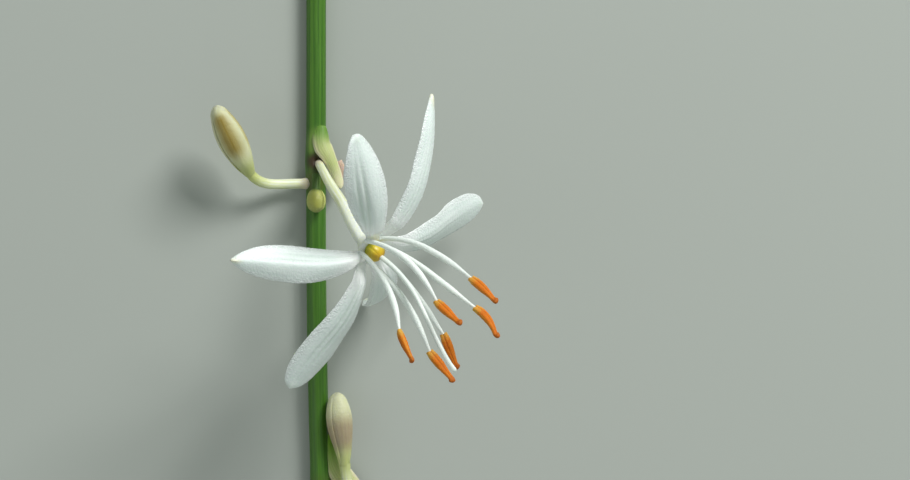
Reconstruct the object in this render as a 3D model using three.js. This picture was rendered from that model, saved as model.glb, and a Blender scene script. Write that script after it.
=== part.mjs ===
// A spider plant flower: one open blossom with its buds on a cut length of flowering stem, laid down.
// Millimetres, +Z up. The stem lies along Y on the plane z = 0, with the mother plant towards +Y, so
// the stem grows towards -Y and its bracts point that way. The origin is on the stem's flat
// underside, below the node that carries the open flower.
import * as THREE from "three";

// ---- Driving dimensions, in millimetres and degrees ----

const STEM = {
  diameter: 1.2,
  axisHeight: 0.5, // the underside is pressed flat where the stem lies on the plane
  route: [[0, 14], [0, 5], [0, -3.5], [0.08, -11], [0.27, -18.4], [0.43, -22.9]],
  nodes: [1.2, -19.2], // where along Y the two nodes are
  swelling: 0.13, // how much wider the stem is there
  swellingReach: 1.1,
};

// The flower's own frame has its middle between the tepals' roots, and its Z is the flower's axis.
const FLOWER = {
  middle: [3.76, -4.38, 9.3],
  facing: -42, // heading of the axis in plan
  lift: 31, // how far it looks up from the plane
};

// The stalk rises from the upper node to the flower and widens all along it.
const FLOWER_STALK = {
  route: [
    [0.08, 1.05, 1.25], [0.62, 0.36, 3.1], [1.28, -0.48, 4.9],
    [1.89, -1.58, 6.6], [2.48, -2.88, 7.82], [3.01, -3.78, 8.7],
  ],
  diameter: 0.54,
  widening: 0.5,
};

// It ends in the receptacle: a plate that flares out under the tepals, given by height and radius in
// the flower's frame, and a low collar that carries the filaments and holds the ovary's foot.
const RECEPTACLE = {
  flare: [[-0.85, 0.46], [-0.62, 0.82], [-0.45, 1.25], [-0.36, 1.25]],
  collar: { top: 0.04, outer: 1.08, inner: 0.68, floor: -0.56 },
};

// Six tepals in two whorls. Widest is the share of the length where a whorl's tepals are widest, and
// the powers and the fullness shape their outlines to the root and to the tip.
const TEPAL = { length: 8.9, rootRadius: 1.2, thickness: 0.6, tipWidth: 0.36, cup: 0.16 };
const OUTER_TEPAL = { widest: 0.53, rootPower: 0.8, tipPower: 2.3, tipFullness: 0.8 };
const INNER_TEPAL = { widest: 0.62, rootPower: 1, tipPower: 2.3, tipFullness: 0.55 };

// Azimuth is round the flower's axis. Lift is up from the flower's plane and turn is sideways from the
// azimuth, both at evenly spaced places along the tepal. Roll turns the blade's face, at the root and
// at the tip. Widths are at the root and where the tepal is widest.
const TEPALS = [
  {
    name: "outer_tepal_1", whorl: OUTER_TEPAL, azimuth: 11.5,
    lift: [-0.5, -25.9, -35.9], turn: [0, 2.1, 2.6], roll: [-2.4, 15.8], widths: [1.12, 2.17],
  },
  {
    name: "inner_tepal_1", whorl: INNER_TEPAL, azimuth: 65.9,
    lift: [6.3, -9.4, -10.7], turn: [0, 1.7, -9.8], roll: [-29.4, 18], widths: [0.69, 2.59],
  },
  {
    name: "outer_tepal_2", whorl: OUTER_TEPAL, azimuth: 134.1,
    lift: [1.7, -23.2, -15.4], turn: [0, -8.8, -10.7], roll: [38.5, 25.3], widths: [0.66, 2.19],
  },
  {
    name: "inner_tepal_2", whorl: INNER_TEPAL, azimuth: 196.6,
    lift: [12.2, -1.6, -2.1], turn: [0, -3.3, 0.9], roll: [-8.7, 19.2], widths: [1.08, 2.67],
  },
  {
    name: "outer_tepal_3", whorl: OUTER_TEPAL, azimuth: 254,
    lift: [2, -24, -50], turn: [0, -2.2, -4.5], roll: [4, 8], widths: [0.9, 2.2],
  },
  {
    name: "inner_tepal_3", whorl: INNER_TEPAL, azimuth: 310.8,
    lift: [-4.6, -14.6, 0.8], turn: [0, -0.4, 0.5], roll: [8.4, -11.5], widths: [1.11, 2.74],
  },
];

// A stamen stands in front of each tepal. Its filament is a spindle that stands at a radius from the
// flower's axis. Lift is up from the flower's plane, and turn is its heading against its own azimuth,
// both at evenly spaced places along it.
const FILAMENT = { rootHeight: 0.13, root: 0.28, belly: 0.39, neck: 0.18, bellyAt: 0.68 };
const FILAMENTS = [
  { radius: 0.85, azimuth: 14.4, lift: [45.7, 79.6, 88.2], turn: [0.2, -19.6, -18.1], length: 6.8 },
  { radius: 0.92, azimuth: 76.8, lift: [56.4, 90.6, 124.8], turn: [-35.8, -30.7, -26.4], length: 6.5 },
  { radius: 0.92, azimuth: 131.5, lift: [89, 67.4, 54.7], turn: [4.2, 15.4, 20.3], length: 6.5 },
  { radius: 0.85, azimuth: 204.1, lift: [96.1, 49.1], turn: [19.2, 17.6], length: 6.9 },
  { radius: 0.85, azimuth: 260.5, lift: [48.2, 76.8], turn: [24, -54.6], length: 6.2 },
  { radius: 0.85, azimuth: 321.2, lift: [66.4, 84.7], turn: [-6.7, -37.2], length: 6.8 },
];

// An anther hangs from each filament. Its heading from root to tip and its lift are those that it has
// over the plane the sprig lies on.
const ANTHER = { length: 2.2, width: 0.6, depth: 0.44, gap: 0.05, furrow: 0.35, knob: 0.16, knobAt: 0.93 };
const ANTHERS = [
  { heading: [-38, -46], lift: 28 },
  { heading: [-44, -38], lift: 34 },
  { heading: [-68, -64], lift: 34 },
  { heading: [-51, -54], lift: 14 },
  { heading: [-68, -66], lift: 20 },
  { heading: [-36, -66], lift: 14 },
];

const OVARY = { bottom: -0.5, height: 1.15, radius: 0.58, lobing: 0.08 };
const STYLE = {
  start: 0.72,
  azimuth: -185.7,
  lift: [96.6, 68.6, 55.7],
  turn: [0, 14.6, 33.7, 74.6],
  length: 8.9,
  diameter: 0.3,
};

const BUD_STALK_DIAMETER = 0.62;
const LEFT_BUD = {
  stalk: [
    [-0.7, -0.22, 0.62], [-1.9, -0.25, 0.8], [-3.1, -0.2, 1.3], [-3.75, 0.12, 1.68], [-3.98, 0.36, 1.84],
  ],
  body: [
    [-4.02, 0.42, 1.88], [-4.37, 1.1, 2.28], [-4.88, 2.1, 2.7], [-5.5, 3.35, 3.1], [-6.06, 4.45, 3.45],
  ],
  diameter: 1.7,
};
const LOWER_BUD = {
  stalk: [[0.92, -19.5, 1.15], [1.4, -20.1, 1.3], [2, -19.7, 1.4], [2.1, -18.6, 1.4], [2, -17.7, 1.4]],
  body: [
    [1.98, -17.6, 1.4], [1.86, -16.8, 1.39], [1.66, -15.7, 1.38], [1.45, -14.6, 1.34], [1.24, -13, 1.2],
  ],
  diameter: 1.45,
};
const YOUNG_BUD = {
  route: [[0.02, 0.3, 1.36], [0.02, -0.6, 1.55], [0.03, -1.35, 1.72], [0.03, -2, 1.76]],
  neckDiameter: 0.44,
  diameter: 1.14,
};

// A bract clasps the stem's side at each node, and a papery bracteole lies behind the upper one. Widths
// are shares of the full width at evenly spaced places. Tilt turns the blade's face about its own
// length, at the base and at the tip.
const UPPER_BRACT = {
  route: [[0.57, 3.3, 1.16], [0.66, 2.2, 1.2], [0.98, 1.1, 1.18], [1.33, 0.2, 1.05], [1.6, -0.5, 0.98]],
  width: 1.15,
  widths: [0.75, 1, 0.8, 0.6, 0.5, 0.4],
  clasp: 0.2,
  tilt: [-45, -18],
};
const LOWER_BRACT = {
  route: [[1.16, -16.1, 0.54], [1.3, -17, 0.54], [1.75, -17.9, 0.5], [2.3, -18.9, 0.44], [2.9, -20, 0.4]],
  width: 1.4,
  widths: [0.4, 0.58, 0.95, 1, 0.75, 0.4],
  clasp: 0.1,
  tilt: [-60, -22, -8, -8],
};
const BRACTEOLE = {
  route: [[1.05, 1.85, 0.34], [1.38, 1, 0.33], [1.54, 0.3, 0.33]],
  width: 0.66,
  widths: [0.85, 1, 0.6],
  clasp: 0,
  tilt: [0, 0],
};
const BRACT_THICKNESS = 0.6;

// ---- Materials ----

const finish = (color, roughness) => new THREE.MeshStandardMaterial({ color, roughness, metalness: 0 });
const STEM_GREEN = finish("#3f7d22", 0.5);
const BRACT_GREEN = finish("#b3c98f", 0.6);
const BRACTEOLE_PINK = finish("#b08b79", 0.75);
const STALK_CREAM = finish("#dde2c2", 0.55);
const TEPAL_WHITE = finish("#e9efea", 0.55);
const FILAMENT_WHITE = finish("#f0f4ef", 0.6);
const ANTHER_ORANGE = finish("#e27c10", 0.6);
const OVARY_YELLOW = finish("#9c8d1c", 0.4);
const BUD_CREAM = finish("#d9cfa2", 0.55);
const YOUNG_BUD_OLIVE = finish("#96953f", 0.55);

// ---- Geometry shared by the pieces ----

const { degToRad, lerp, smoothstep, clamp } = THREE.MathUtils;
const UP = new THREE.Vector3(0, 0, 1);

// A frame is a place on a line, the way along it, the way to its side and the way out of its face.
function frame(place, along, side) {
  return { place, along, side, out: along.clone().cross(side) };
}

// The value at t, from 0 to 1, on straight lines between evenly spaced values.
function sampled(values, t) {
  const i = Math.min(Math.floor(t * (values.length - 1)), values.length - 2);
  return lerp(values[i], values[i + 1], t * (values.length - 1) - i);
}

// Frames along a line whose heading round Z and lift up from the XY plane, in degrees, run through
// evenly spaced values.
function bentLine({ start, heading, lift, length }, steps) {
  const frames = [];
  const place = new THREE.Vector3(...start);
  for (let i = 0; i <= steps; i++) {
    const h = degToRad(sampled(heading, i / steps));
    const l = degToRad(sampled(lift, i / steps));
    const along = new THREE.Vector3(Math.cos(l) * Math.cos(h), Math.cos(l) * Math.sin(h), Math.sin(l));
    if (i > 0) {
      const mean = along.clone().add(frames[i - 1].along).divideScalar(2);
      place.addScaledVector(mean, length / steps);
    }
    frames.push(frame(place.clone(), along, new THREE.Vector3(-Math.sin(h), Math.cos(h), 0)));
  }
  return frames;
}

// Frames along a smooth curve through the route's points. No stretch of it is upright.
function smoothLine(route, steps) {
  const curve = new THREE.CatmullRomCurve3(route.map((p) => new THREE.Vector3(...p)));
  return Array.from({ length: steps + 1 }, (_, i) => {
    const along = curve.getTangentAt(i / steps);
    return frame(curve.getPointAt(i / steps), along, UP.clone().cross(along).normalize());
  });
}

// A closed skin round the frames. section(angle, s) gives the skin's distance to the side and out
// from the line, where angle runs once round and s runs from 0 to 1 along it.
function skin(frames, sides, section) {
  const steps = frames.length - 1;
  const geometry = new THREE.CylinderGeometry(1, 1, 1, sides, steps);
  const position = geometry.getAttribute("position");
  for (let i = 0; i < position.count; i++) {
    const row = Math.round((position.getY(i) + 0.5) * steps);
    const angle = Math.atan2(-position.getZ(i), position.getX(i));
    const isCapCentre = Math.hypot(position.getX(i), position.getZ(i)) < 0.5;
    const [across, out] = isCapCentre ? capCentre(section, row / steps) : section(angle, row / steps);
    const at = frames[row];
    const point = at.place.clone().addScaledVector(at.side, across).addScaledVector(at.out, out);
    position.setXYZ(i, point.x, point.y, point.z);
  }
  geometry.computeVertexNormals();
  return geometry;
}

// The middle of an end face lies half way between the section's two opposite sides.
function capCentre(section, s) {
  const [x0, y0] = section(0, s);
  const [x1, y1] = section(Math.PI, s);
  return [(x0 + x1) / 2, (y0 + y1) / 2];
}

// A round rod whose radius is a function of s.
function rod(frames, sides, radius) {
  return skin(frames, sides, (angle, s) => [radius(s) * Math.cos(angle), radius(s) * Math.sin(angle)]);
}

// A blade with rounded edges. Its edges stand above its midrib by cup, or below it where cup is
// negative, and roll turns its face about its length.
function blade(frames, sides, { width, thickness, cup, roll }) {
  const edgeRoundness = 0.45;
  return skin(frames, sides, (angle, s) => {
    const u = Math.cos(angle);
    const face = Math.sign(Math.sin(angle)) * Math.abs(Math.sin(angle)) ** edgeRoundness;
    const across = (u * width(s)) / 2;
    const out = (face * thickness) / 2 + cup(s) * (u * u - 0.4);
    const turn = degToRad(roll(s));
    return [across * Math.cos(turn) - out * Math.sin(turn), across * Math.sin(turn) + out * Math.cos(turn)];
  });
}

function named(name, geometry, material) {
  const mesh = new THREE.Mesh(geometry, material);
  mesh.name = name;
  return mesh;
}

// ---- Stem ----

function stem() {
  const steps = 34;
  const sides = 16;
  const frames = smoothLine(STEM.route.map(([x, y]) => [x, y, STEM.axisHeight]), steps);
  const bump = (distance) => STEM.swelling * Math.exp(-((distance / STEM.swellingReach) ** 2));
  const swelling = (y) => STEM.nodes.reduce((sum, node) => sum + bump(y - node), 0);
  return skin(frames, sides, (angle, s) => {
    const radius = (STEM.diameter + swelling(frames[Math.round(s * steps)].place.y)) / 2;
    const facet = angle + Math.PI / sides; // puts a facet's middle, not its edge, underneath
    return [radius * Math.cos(facet), Math.max(radius * Math.sin(facet), -STEM.axisHeight)];
  });
}

// ---- Flower: its frame, stalk, tepals, stamens and pistil ----

const flower = new THREE.Group();
flower.position.set(...FLOWER.middle);
flower.rotation.set(degToRad(90 - FLOWER.lift), 0, degToRad(FLOWER.facing + 90), "ZXY");
flower.updateMatrixWorld(true);

function flowerStalk() {
  const steps = 20;
  const stalk = smoothLine(FLOWER_STALK.route, steps);
  const axis = UP.clone().transformDirection(flower.matrixWorld);
  const side = UP.clone().cross(axis).normalize();
  const { top, outer, inner, floor } = RECEPTACLE.collar;
  const plateTop = RECEPTACLE.flare.at(-1)[0];
  const profile = [...RECEPTACLE.flare, [plateTop, outer], [top, outer], [top, inner], [floor, inner]];
  const head = profile.map(([z]) => frame(flower.localToWorld(new THREE.Vector3(0, 0, z)), axis, side));
  const widened = (i) => 1 + FLOWER_STALK.widening * smoothstep(i, 0.1 * steps, steps);
  const radii = [
    ...stalk.map((_, i) => (FLOWER_STALK.diameter / 2) * widened(i)),
    ...profile.map(([, radius]) => radius),
  ];
  const frames = [...stalk, ...head];
  return rod(frames, 12, (s) => radii[Math.round(s * (frames.length - 1))]);
}

// Frames that start at a radius and a height in the flower's frame, on the side that azimuth names.
function fromFlower({ azimuth, turn, lift, length }, radius, height, steps) {
  const a = degToRad(azimuth);
  const start = [radius * Math.cos(a), radius * Math.sin(a), height];
  return bentLine({ start, heading: turn.map((t) => azimuth + t), lift, length }, steps);
}

// A tepal widens from its root to its widest place and closes to a pointed or a rounded tip.
function tepal({ whorl, azimuth, lift, turn, roll, widths: [rootWidth, fullWidth] }) {
  const { length, rootRadius, tipWidth, thickness, cup } = TEPAL;
  const frames = fromFlower({ azimuth, turn, lift, length }, rootRadius, 0, 20);
  const width = (s) => {
    const rise = Math.sin((Math.min(s / whorl.widest, 1) * Math.PI) / 2);
    if (s < whorl.widest) return lerp(rootWidth, fullWidth, rise ** whorl.rootPower);
    const q = (s - whorl.widest) / (1 - whorl.widest);
    return Math.max(fullWidth * (1 - q ** whorl.tipPower) ** whorl.tipFullness, tipWidth);
  };
  return blade(frames, 14, {
    width,
    thickness,
    cup: (s) => cup * Math.sin(Math.PI * s),
    roll: (s) => sampled(roll, s),
  });
}

const filamentFrames = (shape) => fromFlower(shape, shape.radius, FILAMENT.rootHeight, 14);

function filament(shape) {
  const { root, belly, neck, bellyAt } = FILAMENT;
  return rod(filamentFrames(shape), 8, (s) => {
    const swell = smoothstep(s, 0, bellyAt);
    const shrink = smoothstep(s, bellyAt, 1);
    return (lerp(root, belly, swell) + (neck - belly) * shrink) / 2;
  });
}

// An anther is two lobes side by side with a furrow between them, and a small knob at its end.
function anther({ heading, lift }, filamentShape) {
  const { length, width, depth, gap, furrow, knob, knobAt } = ANTHER;
  const end = filamentFrames(filamentShape).at(-1);
  const start = flower.localToWorld(end.place.clone().addScaledVector(end.along, gap));
  const frames = bentLine({ start: start.toArray(), heading, lift: [lift, lift], length }, 11);
  return skin(frames, 12, (angle, s) => {
    const body = lerp(0.55, 1, smoothstep(s, 0, 0.25)) - 0.4 * smoothstep(s, 0.45, 0.9);
    const size = body + knob * Math.exp(-(((s - knobAt) / 0.06) ** 2));
    const furrowed = 1 - furrow * Math.abs(Math.sin(angle)) ** 6;
    return [(size * width * Math.cos(angle)) / 2, (size * furrowed * depth * Math.sin(angle)) / 2];
  });
}

function ovary() {
  const { bottom, height, radius, lobing } = OVARY;
  const frames = bentLine({ start: [0, 0, bottom], heading: [0, 0], lift: [90, 90], length: height }, 8);
  return skin(frames, 18, (angle, s) => {
    const round = 0.55 + 0.45 * Math.sin(Math.PI * clamp(s, 0.02, 0.9)) ** 0.6;
    const r = radius * round * (1 + lobing * Math.cos(3 * angle));
    return [r * Math.cos(angle), r * Math.sin(angle)];
  });
}

function style() {
  return rod(fromFlower(STYLE, 0, STYLE.start, 18), 8, () => STYLE.diameter / 2);
}

// ---- Buds and bracts ----

function budStalk({ stalk }) {
  return rod(smoothLine(stalk, 14), 10, () => BUD_STALK_DIAMETER / 2);
}

// A bud swells slowly from its stalk, is widest past half way, and closes to a blunt tip.
function bud({ body, diameter }) {
  const tip = 0.14;
  return rod(smoothLine(body, 18), 14, (s) => {
    const swell = Math.sin(Math.PI * (0.93 * s) ** 1.3);
    const radius = (BUD_STALK_DIAMETER * (1 - 0.4 * s) + (diameter - 0.7 * BUD_STALK_DIAMETER) * swell) / 2;
    return radius * Math.sqrt(1 - Math.max((s - 1 + tip) / (1.05 * tip), 0) ** 2);
  });
}

function youngBud() {
  const neckEnd = 0.3;
  return rod(smoothLine(YOUNG_BUD.route, 14), 12, (s) => {
    const swell = Math.sin(Math.PI * clamp((s - neckEnd) / (1 - neckEnd), 0, 0.96)) ** 0.7;
    return lerp(YOUNG_BUD.neckDiameter, YOUNG_BUD.diameter, swell) / 2;
  });
}

function bract({ route, width, widths, clasp, tilt }) {
  return blade(smoothLine(route, 12), 12, {
    width: (s) => width * sampled(widths, s),
    thickness: BRACT_THICKNESS,
    cup: () => -clasp,
    roll: (s) => sampled(tilt, s),
  });
}

// ---- The sprig ----

const sprig = new THREE.Group();
sprig.add(named("stem", stem(), STEM_GREEN));
sprig.add(named("bract_upper", bract(UPPER_BRACT), BRACT_GREEN));
sprig.add(named("bract_lower", bract(LOWER_BRACT), BRACT_GREEN));
sprig.add(named("bracteole", bract(BRACTEOLE), BRACTEOLE_PINK));
sprig.add(named("bud_stalk_left", budStalk(LEFT_BUD), STALK_CREAM));
sprig.add(named("bud_left", bud(LEFT_BUD), BUD_CREAM));
sprig.add(named("bud_stalk_lower", budStalk(LOWER_BUD), STALK_CREAM));
sprig.add(named("bud_lower", bud(LOWER_BUD), BUD_CREAM));
sprig.add(named("bud_young", youngBud(), YOUNG_BUD_OLIVE));
sprig.add(named("flower_stalk", flowerStalk(), STALK_CREAM));
ANTHERS.forEach((shape, i) => {
  sprig.add(named(`anther_${i + 1}`, anther(shape, FILAMENTS[i]), ANTHER_ORANGE));
});

TEPALS.forEach((shape) => flower.add(named(shape.name, tepal(shape), TEPAL_WHITE)));
FILAMENTS.forEach((shape, i) => flower.add(named(`filament_${i + 1}`, filament(shape), FILAMENT_WHITE)));
flower.add(named("ovary", ovary(), OVARY_YELLOW));
flower.add(named("style", style(), FILAMENT_WHITE));
sprig.add(flower);

export default sprig;
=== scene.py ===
"""A spider plant flower with its buds, on a cut length of its flowering stem that lies on a plain floor.

Sizes and places are in millimetres until a mesh is made. Headings, lifts and azimuths are in degrees.
"""

from collections import namedtuple

import bpy
import numpy as np
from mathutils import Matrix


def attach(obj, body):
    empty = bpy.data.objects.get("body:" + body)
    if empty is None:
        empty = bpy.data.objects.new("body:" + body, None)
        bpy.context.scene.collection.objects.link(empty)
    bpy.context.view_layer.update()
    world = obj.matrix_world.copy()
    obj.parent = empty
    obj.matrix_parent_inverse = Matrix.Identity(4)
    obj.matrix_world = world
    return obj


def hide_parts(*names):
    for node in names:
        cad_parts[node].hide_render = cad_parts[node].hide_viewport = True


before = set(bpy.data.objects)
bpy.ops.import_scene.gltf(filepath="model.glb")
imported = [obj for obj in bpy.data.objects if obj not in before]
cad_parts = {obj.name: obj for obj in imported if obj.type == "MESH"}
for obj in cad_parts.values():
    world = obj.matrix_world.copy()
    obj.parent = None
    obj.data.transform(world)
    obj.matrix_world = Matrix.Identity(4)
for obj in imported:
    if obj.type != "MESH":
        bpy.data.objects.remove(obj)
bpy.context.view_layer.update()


# ---- Stem ----
# The flowering stem is one springy green stalk with faint lengthwise ribs and a waxy skin, cut at both ends.
# It lies on the floor, pressed a little flat there, and swells at the two nodes that its bracts, buds and
# flower grow from. Its cut faces show pale pith with a ring of darker strands.

MM = 0.001
STEM_DIAMETER = 1.2
STEM_AXIS_HEIGHT = 0.5
STEM_ROUTE = [(0, 14), (0, 5), (0, -3.5), (0.08, -11), (0.27, -18.4), (0.43, -22.9)]
STEM_LENGTH = 36.9
STEM_NODES = (1.2, -19.2)
STEM_SWELLING = 0.13
STEM_SWELLING_REACH = 1.1
STEM_RIBS = 11
STEM_RIB_HEIGHT = 0.006
# The axil pocket that the flower stalk stands in: its place along Y, its angle round the stem, its depth,
# and how far it reaches along the stem and round it.
AXIL = {"y": 1.2, "angle": 74, "depth": 0.26, "reach": (0.42, 30)}
# The rings of a cut face, as shares of the radius, and the share of the length that its rim is bevelled over.
STEM_CUT = np.array([0.15, 0.4, 0.65, 0.85, 0.95, 1])
STEM_CUT_BEVEL = 0.0006
STEM_GREEN = (0.032, 0.12, 0.004)
STEM_LIGHT_GREEN = (0.08, 0.22, 0.01)
STEM_PALE_GREEN = (0.3, 0.42, 0.1)
STEM_OLIVE = (0.085, 0.105, 0.012)
# The colour of the painted shade in the axil pocket.
STEM_AXIL_SHADE = (0.04, 0.02, 0.006)
STEM_PITH = (0.5, 0.6, 0.33)
# Where the skin is pale under the upper bract and olive at the low node, and where shade is painted on it:
# olive below the axil and dark brown in the axil pocket.
STEM_PALE_AT = (0.35, 2.3, 1.1)
STEM_OLIVE_SHADE_AT = (-0.1, -0.1, 1.05)
STEM_LOW_OLIVE_AT = (0.45, STEM_NODES[1], 0.8)
STEM_AXIL_SHADE_AT = (-0.06, 1.12, 1.0)

# A line's frames: its places, the way along it, the way to its side, and the way out of its face.
Line = namedtuple("Line", "place along side out")

# A closed skin: a grid of points whose rows are rings round the piece, and each point's surface place.
Skin = namedtuple("Skin", "points surface")


def unit(vectors):
    """Each vector divided by its length."""
    return vectors / np.linalg.norm(vectors, axis=-1, keepdims=True)


def stacked(x, y, z):
    """Three arrays, stretched to one shape, as one array of vectors."""
    return np.stack(np.broadcast_arrays(x, y, z), axis=-1)


def spline(points, at):
    """The natural cubic spline through the points, at shares of its chords' whole length.

    Between two points it is their mean, weighted by nearness, plus a sixth of the chord squared times the
    sum of each one's second derivative times the cube of its weight less the weight. The derivatives are
    solved so that the slope never jumps.
    """
    points = np.array(points, float)
    chords = np.linalg.norm(np.diff(points, axis=0), axis=1)
    knots = np.concatenate([[0], np.cumsum(chords)])
    inner = np.arange(1, len(points) - 1)
    system = np.eye(len(points))
    system[inner, inner - 1] = chords[:-1]
    system[inner, inner] = 2 * (chords[:-1] + chords[1:])
    system[inner, inner + 1] = chords[1:]
    jumps = np.zeros_like(points)
    jumps[inner] = 6 * np.diff(np.diff(points, axis=0) / chords[:, None], axis=0)
    bend = np.linalg.solve(system, jumps)
    t = np.asarray(at) * knots[-1]
    k = np.clip(np.searchsorted(knots, t) - 1, 0, len(chords) - 1)
    chord = chords[k][:, None]
    b = (t - knots[k])[:, None] / chord
    a = 1 - b
    curve = (a**3 - a) * bend[k] + (b**3 - b) * bend[k + 1]
    return a * points[k] + b * points[k + 1] + curve * chord**2 / 6


def level_line(place, along):
    """Frames at these places that point along these directions. Side is level, and out is along x side."""
    side = unit(np.cross([0, 0, 1], along))
    return Line(place, along, side, np.cross(along, side))


def smooth_line(route, at):
    """Level frames along the spline through a route, pointing along its slope."""
    step = 0.001
    return level_line(spline(route, at), unit(spline(route, at + step) - spline(route, at - step)))


def sweep(line, across, out):
    """Rings round a line: each row's place, plus so much to its side, plus so much out of its face."""
    return line.place[:, None] + across[..., None] * line.side[:, None] + out[..., None] * line.out[:, None]


def ring(sides):
    """The angles of one ring's points, as a row."""
    return np.linspace(0, 2 * np.pi, sides, endpoint=False)[None]


def smoothstep(x, low, high):
    """0 below low, 1 above high, and 3 t squared less 2 t cubed between."""
    t = np.clip((x - low) / (high - low), 0, 1)
    return t * t * (3 - 2 * t)


def grain(rows, sides, seed):
    """Fine relief, mostly from -1 to 1: 0.7 of each point's own seeded random number, plus the mean of its
    four neighbours'.
    """
    value = np.random.default_rng(seed).uniform(-1, 1, (rows, sides))
    near = sum(np.roll(value, step, axis) for step in (-1, 1) for axis in (0, 1)) / 4
    return 0.7 * value + near


def piece(name, skins, material):
    """One object made of closed skins. Quads join each ring to the next, and a fan of triangles closes each
    end on its middle.
    """
    vertices, surfaces, faces, first = [], [], [], 0
    for points, surface in skins:
        rows, sides = points.shape[:2]
        start = first + np.arange(rows - 1)[:, None] * sides
        j = np.arange(sides)
        k = (j + 1) % sides
        quads = np.stack([start + j, start + k, start + sides + k, start + sides + j], axis=-1)
        root, tip = first + rows * sides, first + rows * sides + 1
        last = root - sides
        faces += quads.reshape(-1, 4).tolist()
        faces += np.stack([np.full(sides, root), first + k, first + j], axis=-1).tolist()
        faces += np.stack([np.full(sides, tip), last + j, last + k], axis=-1).tolist()
        ends = [0, -1]
        vertices += [points.reshape(-1, 3), points[ends].mean(axis=1)]
        surfaces += [surface.reshape(-1, 3), surface[ends].mean(axis=1)]
        first = tip + 1
    mesh = bpy.data.meshes.new(name)
    mesh.from_pydata(np.concatenate(vertices) * MM, [], faces)
    mesh.shade_smooth()
    values = mesh.attributes.new("surface", "FLOAT_VECTOR", "POINT")
    values.data.foreach_set("vector", np.concatenate(surfaces).astype(np.float32).ravel())
    mesh.materials.append(material)
    made = bpy.data.objects.new(name, mesh)
    bpy.context.scene.collection.objects.link(made)
    return made


class Shade:
    """A socket of a material's nodes, so that shader maths is written as Python expressions.

    On values, + - * and ** add Math nodes. node() adds any other kind.
    """

    def __init__(self, tree, socket=None):
        self.tree, self.socket = tree, socket

    def node(self, kind, settings, sockets, output=0):
        """Adds a node: its settings first, then each socket's value or link. Gives one of its outputs."""
        made = self.tree.nodes.new("ShaderNode" + kind)
        for name, value in settings.items():
            setattr(made, name, value)
        for name, value in sockets.items():
            socket = made.inputs[name]
            if isinstance(value, Shade):
                self.tree.links.new(value.socket, socket)
            else:
                socket.default_value = (*value, 1.0) if socket.type == "RGBA" else value
        return Shade(self.tree, made.outputs[output]) if made.outputs else None

    def math(self, operation, *values):
        return self.node("Math", {"operation": operation}, dict(enumerate(values)))

    def __add__(self, other):
        return self.math("ADD", self, other)

    def __sub__(self, other):
        return self.math("SUBTRACT", self, other)

    def __rsub__(self, other):
        return self.math("SUBTRACT", other, self)

    def __mul__(self, other):
        return self.math("MULTIPLY", self, other)

    def __pow__(self, other):
        return self.math("POWER", self, other)

    __radd__ = __add__
    __rmul__ = __mul__

    def size(self):
        """The value without its sign."""
        return self.math("ABSOLUTE", self)

    def sine(self):
        """The sine of the value in radians."""
        return self.math("SINE", self)

    def rise(self, low, high):
        """0 where the value is below low, 1 where it is above high, and smooth between."""
        return self.node("MapRange", {"interpolation_type": "SMOOTHSTEP"}, {0: self, 1: low, 2: high})

    def colour(self, low, high):
        """The colour low where the value is 0, high where it is 1, and a mix between."""
        return self.node("Mix", {"data_type": "RGBA"}, {0: self, 6: low, 7: high}, output=2)

    def stretch(self, x, y, z):
        """The vector with each of its parts multiplied by its own number."""
        return self.node("VectorMath", {"operation": "MULTIPLY"}, {0: self, 1: (x, y, z)})

    def split(self):
        """The vector's three parts."""
        return [self.node("SeparateXYZ", {}, {0: self}, output=i) for i in range(3)]

    def distance(self, point):
        """How far the vector is from a point."""
        return self.node("VectorMath", {"operation": "DISTANCE"}, {0: self, 1: point}, output="Value")

    def noise(self, scale, detail=2.0):
        """Clouds from 0 to 1, so many to a unit of the vector."""
        return self.node("TexNoise", {}, {"Vector": self, "Scale": scale, "Detail": detail})

    def cells(self, scale):
        """Rounded cells, so many to a unit of the vector: 0 in the middle of each, about 0.6 between them."""
        return self.node("TexVoronoi", {}, {"Vector": self, "Scale": scale})

    def finish(self, colour, roughness, height, relief, flesh, constants=()):
        """Ends the material. Height, from 0 to 1, stands relief millimetres proud at most. Flesh is how much
        of the light scatters inside, how far each colour goes there, and in how many millimetres.
        """
        sockets = {
            "Base Color": colour,
            "Roughness": roughness,
            "Normal": self.node("Bump", {}, {"Height": height, "Distance": relief * MM, "Strength": 1.0}),
            "Subsurface Weight": flesh[0],
            "Subsurface Radius": flesh[1],
            "Subsurface Scale": flesh[2] * MM,
            **dict(constants),
        }
        self.node("OutputMaterial", {}, {"Surface": self.node("BsdfPrincipled", {}, sockets)})


def new_material(name):
    """An empty material, with its place in millimetres and its surface place to read."""
    made = bpy.data.materials.new(name)
    made.use_nodes = True
    made.node_tree.nodes.clear()
    empty = Shade(made.node_tree)
    place = empty.node("TexCoord", {}, {}, output="Object").stretch(1 / MM, 1 / MM, 1 / MM)
    surface = empty.node("Attribute", {"attribute_name": "surface"}, {}, output="Vector")
    return made, place, surface


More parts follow.
